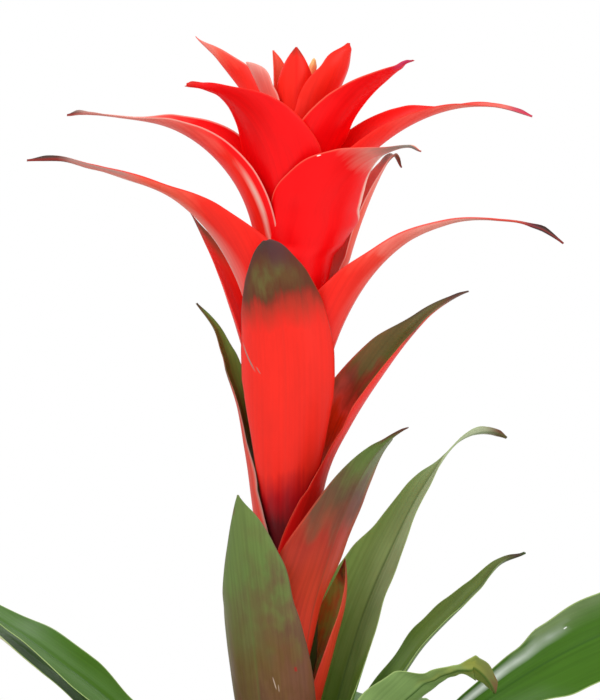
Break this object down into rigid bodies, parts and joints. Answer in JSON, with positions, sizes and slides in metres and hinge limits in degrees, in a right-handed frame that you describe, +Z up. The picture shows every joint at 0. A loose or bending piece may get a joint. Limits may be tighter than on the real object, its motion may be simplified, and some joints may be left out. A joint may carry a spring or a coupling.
{
  "type": "guzmania plant",
  "caption": "Bromeliad with a tall spike of overlapping red bracts above a rosette of arching green strap leaves, cut from its roots and standing on the flat end of its stem.",
  "frame": {"origin": "centre of the flat cut end of the stem, where the plant stands", "axes": "+Z up the stem, -Y towards the viewer of the front, +X to the viewer's right"},
  "size_m": [0.5658, 0.5679, 0.4435],
  "materials": {
    "red_bract": "satin",
    "flushed_bract": "satin",
    "green_bract": "satin",
    "leaf": "satin",
    "stem": "matt",
    "floret": "satin"
  },
  "bodies": {
    "root": {"stem": "stem", "florets": "floret", "bract_01": "green_bract", "bract_02": "flushed_bract", "bract_03": "green_bract", "bract_04": "flushed_bract", "bract_05": "flushed_bract", "bract_06": "flushed_bract", "bract_07": "red_bract", "bract_08": "red_bract", "bract_09": "red_bract", "bract_10": "red_bract", "bract_11": "red_bract", "bract_12": "red_bract", "bract_13": "red_bract", "bract_14": "red_bract", "bract_15": "red_bract", "bract_16": "red_bract", "bract_17": "red_bract", "bract_18": "red_bract", "bract_19": "red_bract", "bract_20": "red_bract", "bract_21": "red_bract", "bract_22": "red_bract", "bract_23": "red_bract", "bract_24": "red_bract", "bract_25": "red_bract", "bract_26": "red_bract", "leaf_01": "leaf", "leaf_02": "leaf", "leaf_03": "leaf", "leaf_04": "leaf", "leaf_05": "leaf", "leaf_06": "leaf", "leaf_07": "leaf", "leaf_08": "leaf", "leaf_09": "leaf", "leaf_10": "leaf", "leaf_11": "leaf", "leaf_12": "leaf", "leaf_13": "leaf", "leaf_14": "leaf", "leaf_15": "leaf", "leaf_16": "leaf", "leaf_17": "leaf", "leaf_18": "leaf", "leaf_19": "leaf", "leaf_20": "leaf", "leaf_21": "leaf", "leaf_22": "leaf"}
  },
  "joints": []
}
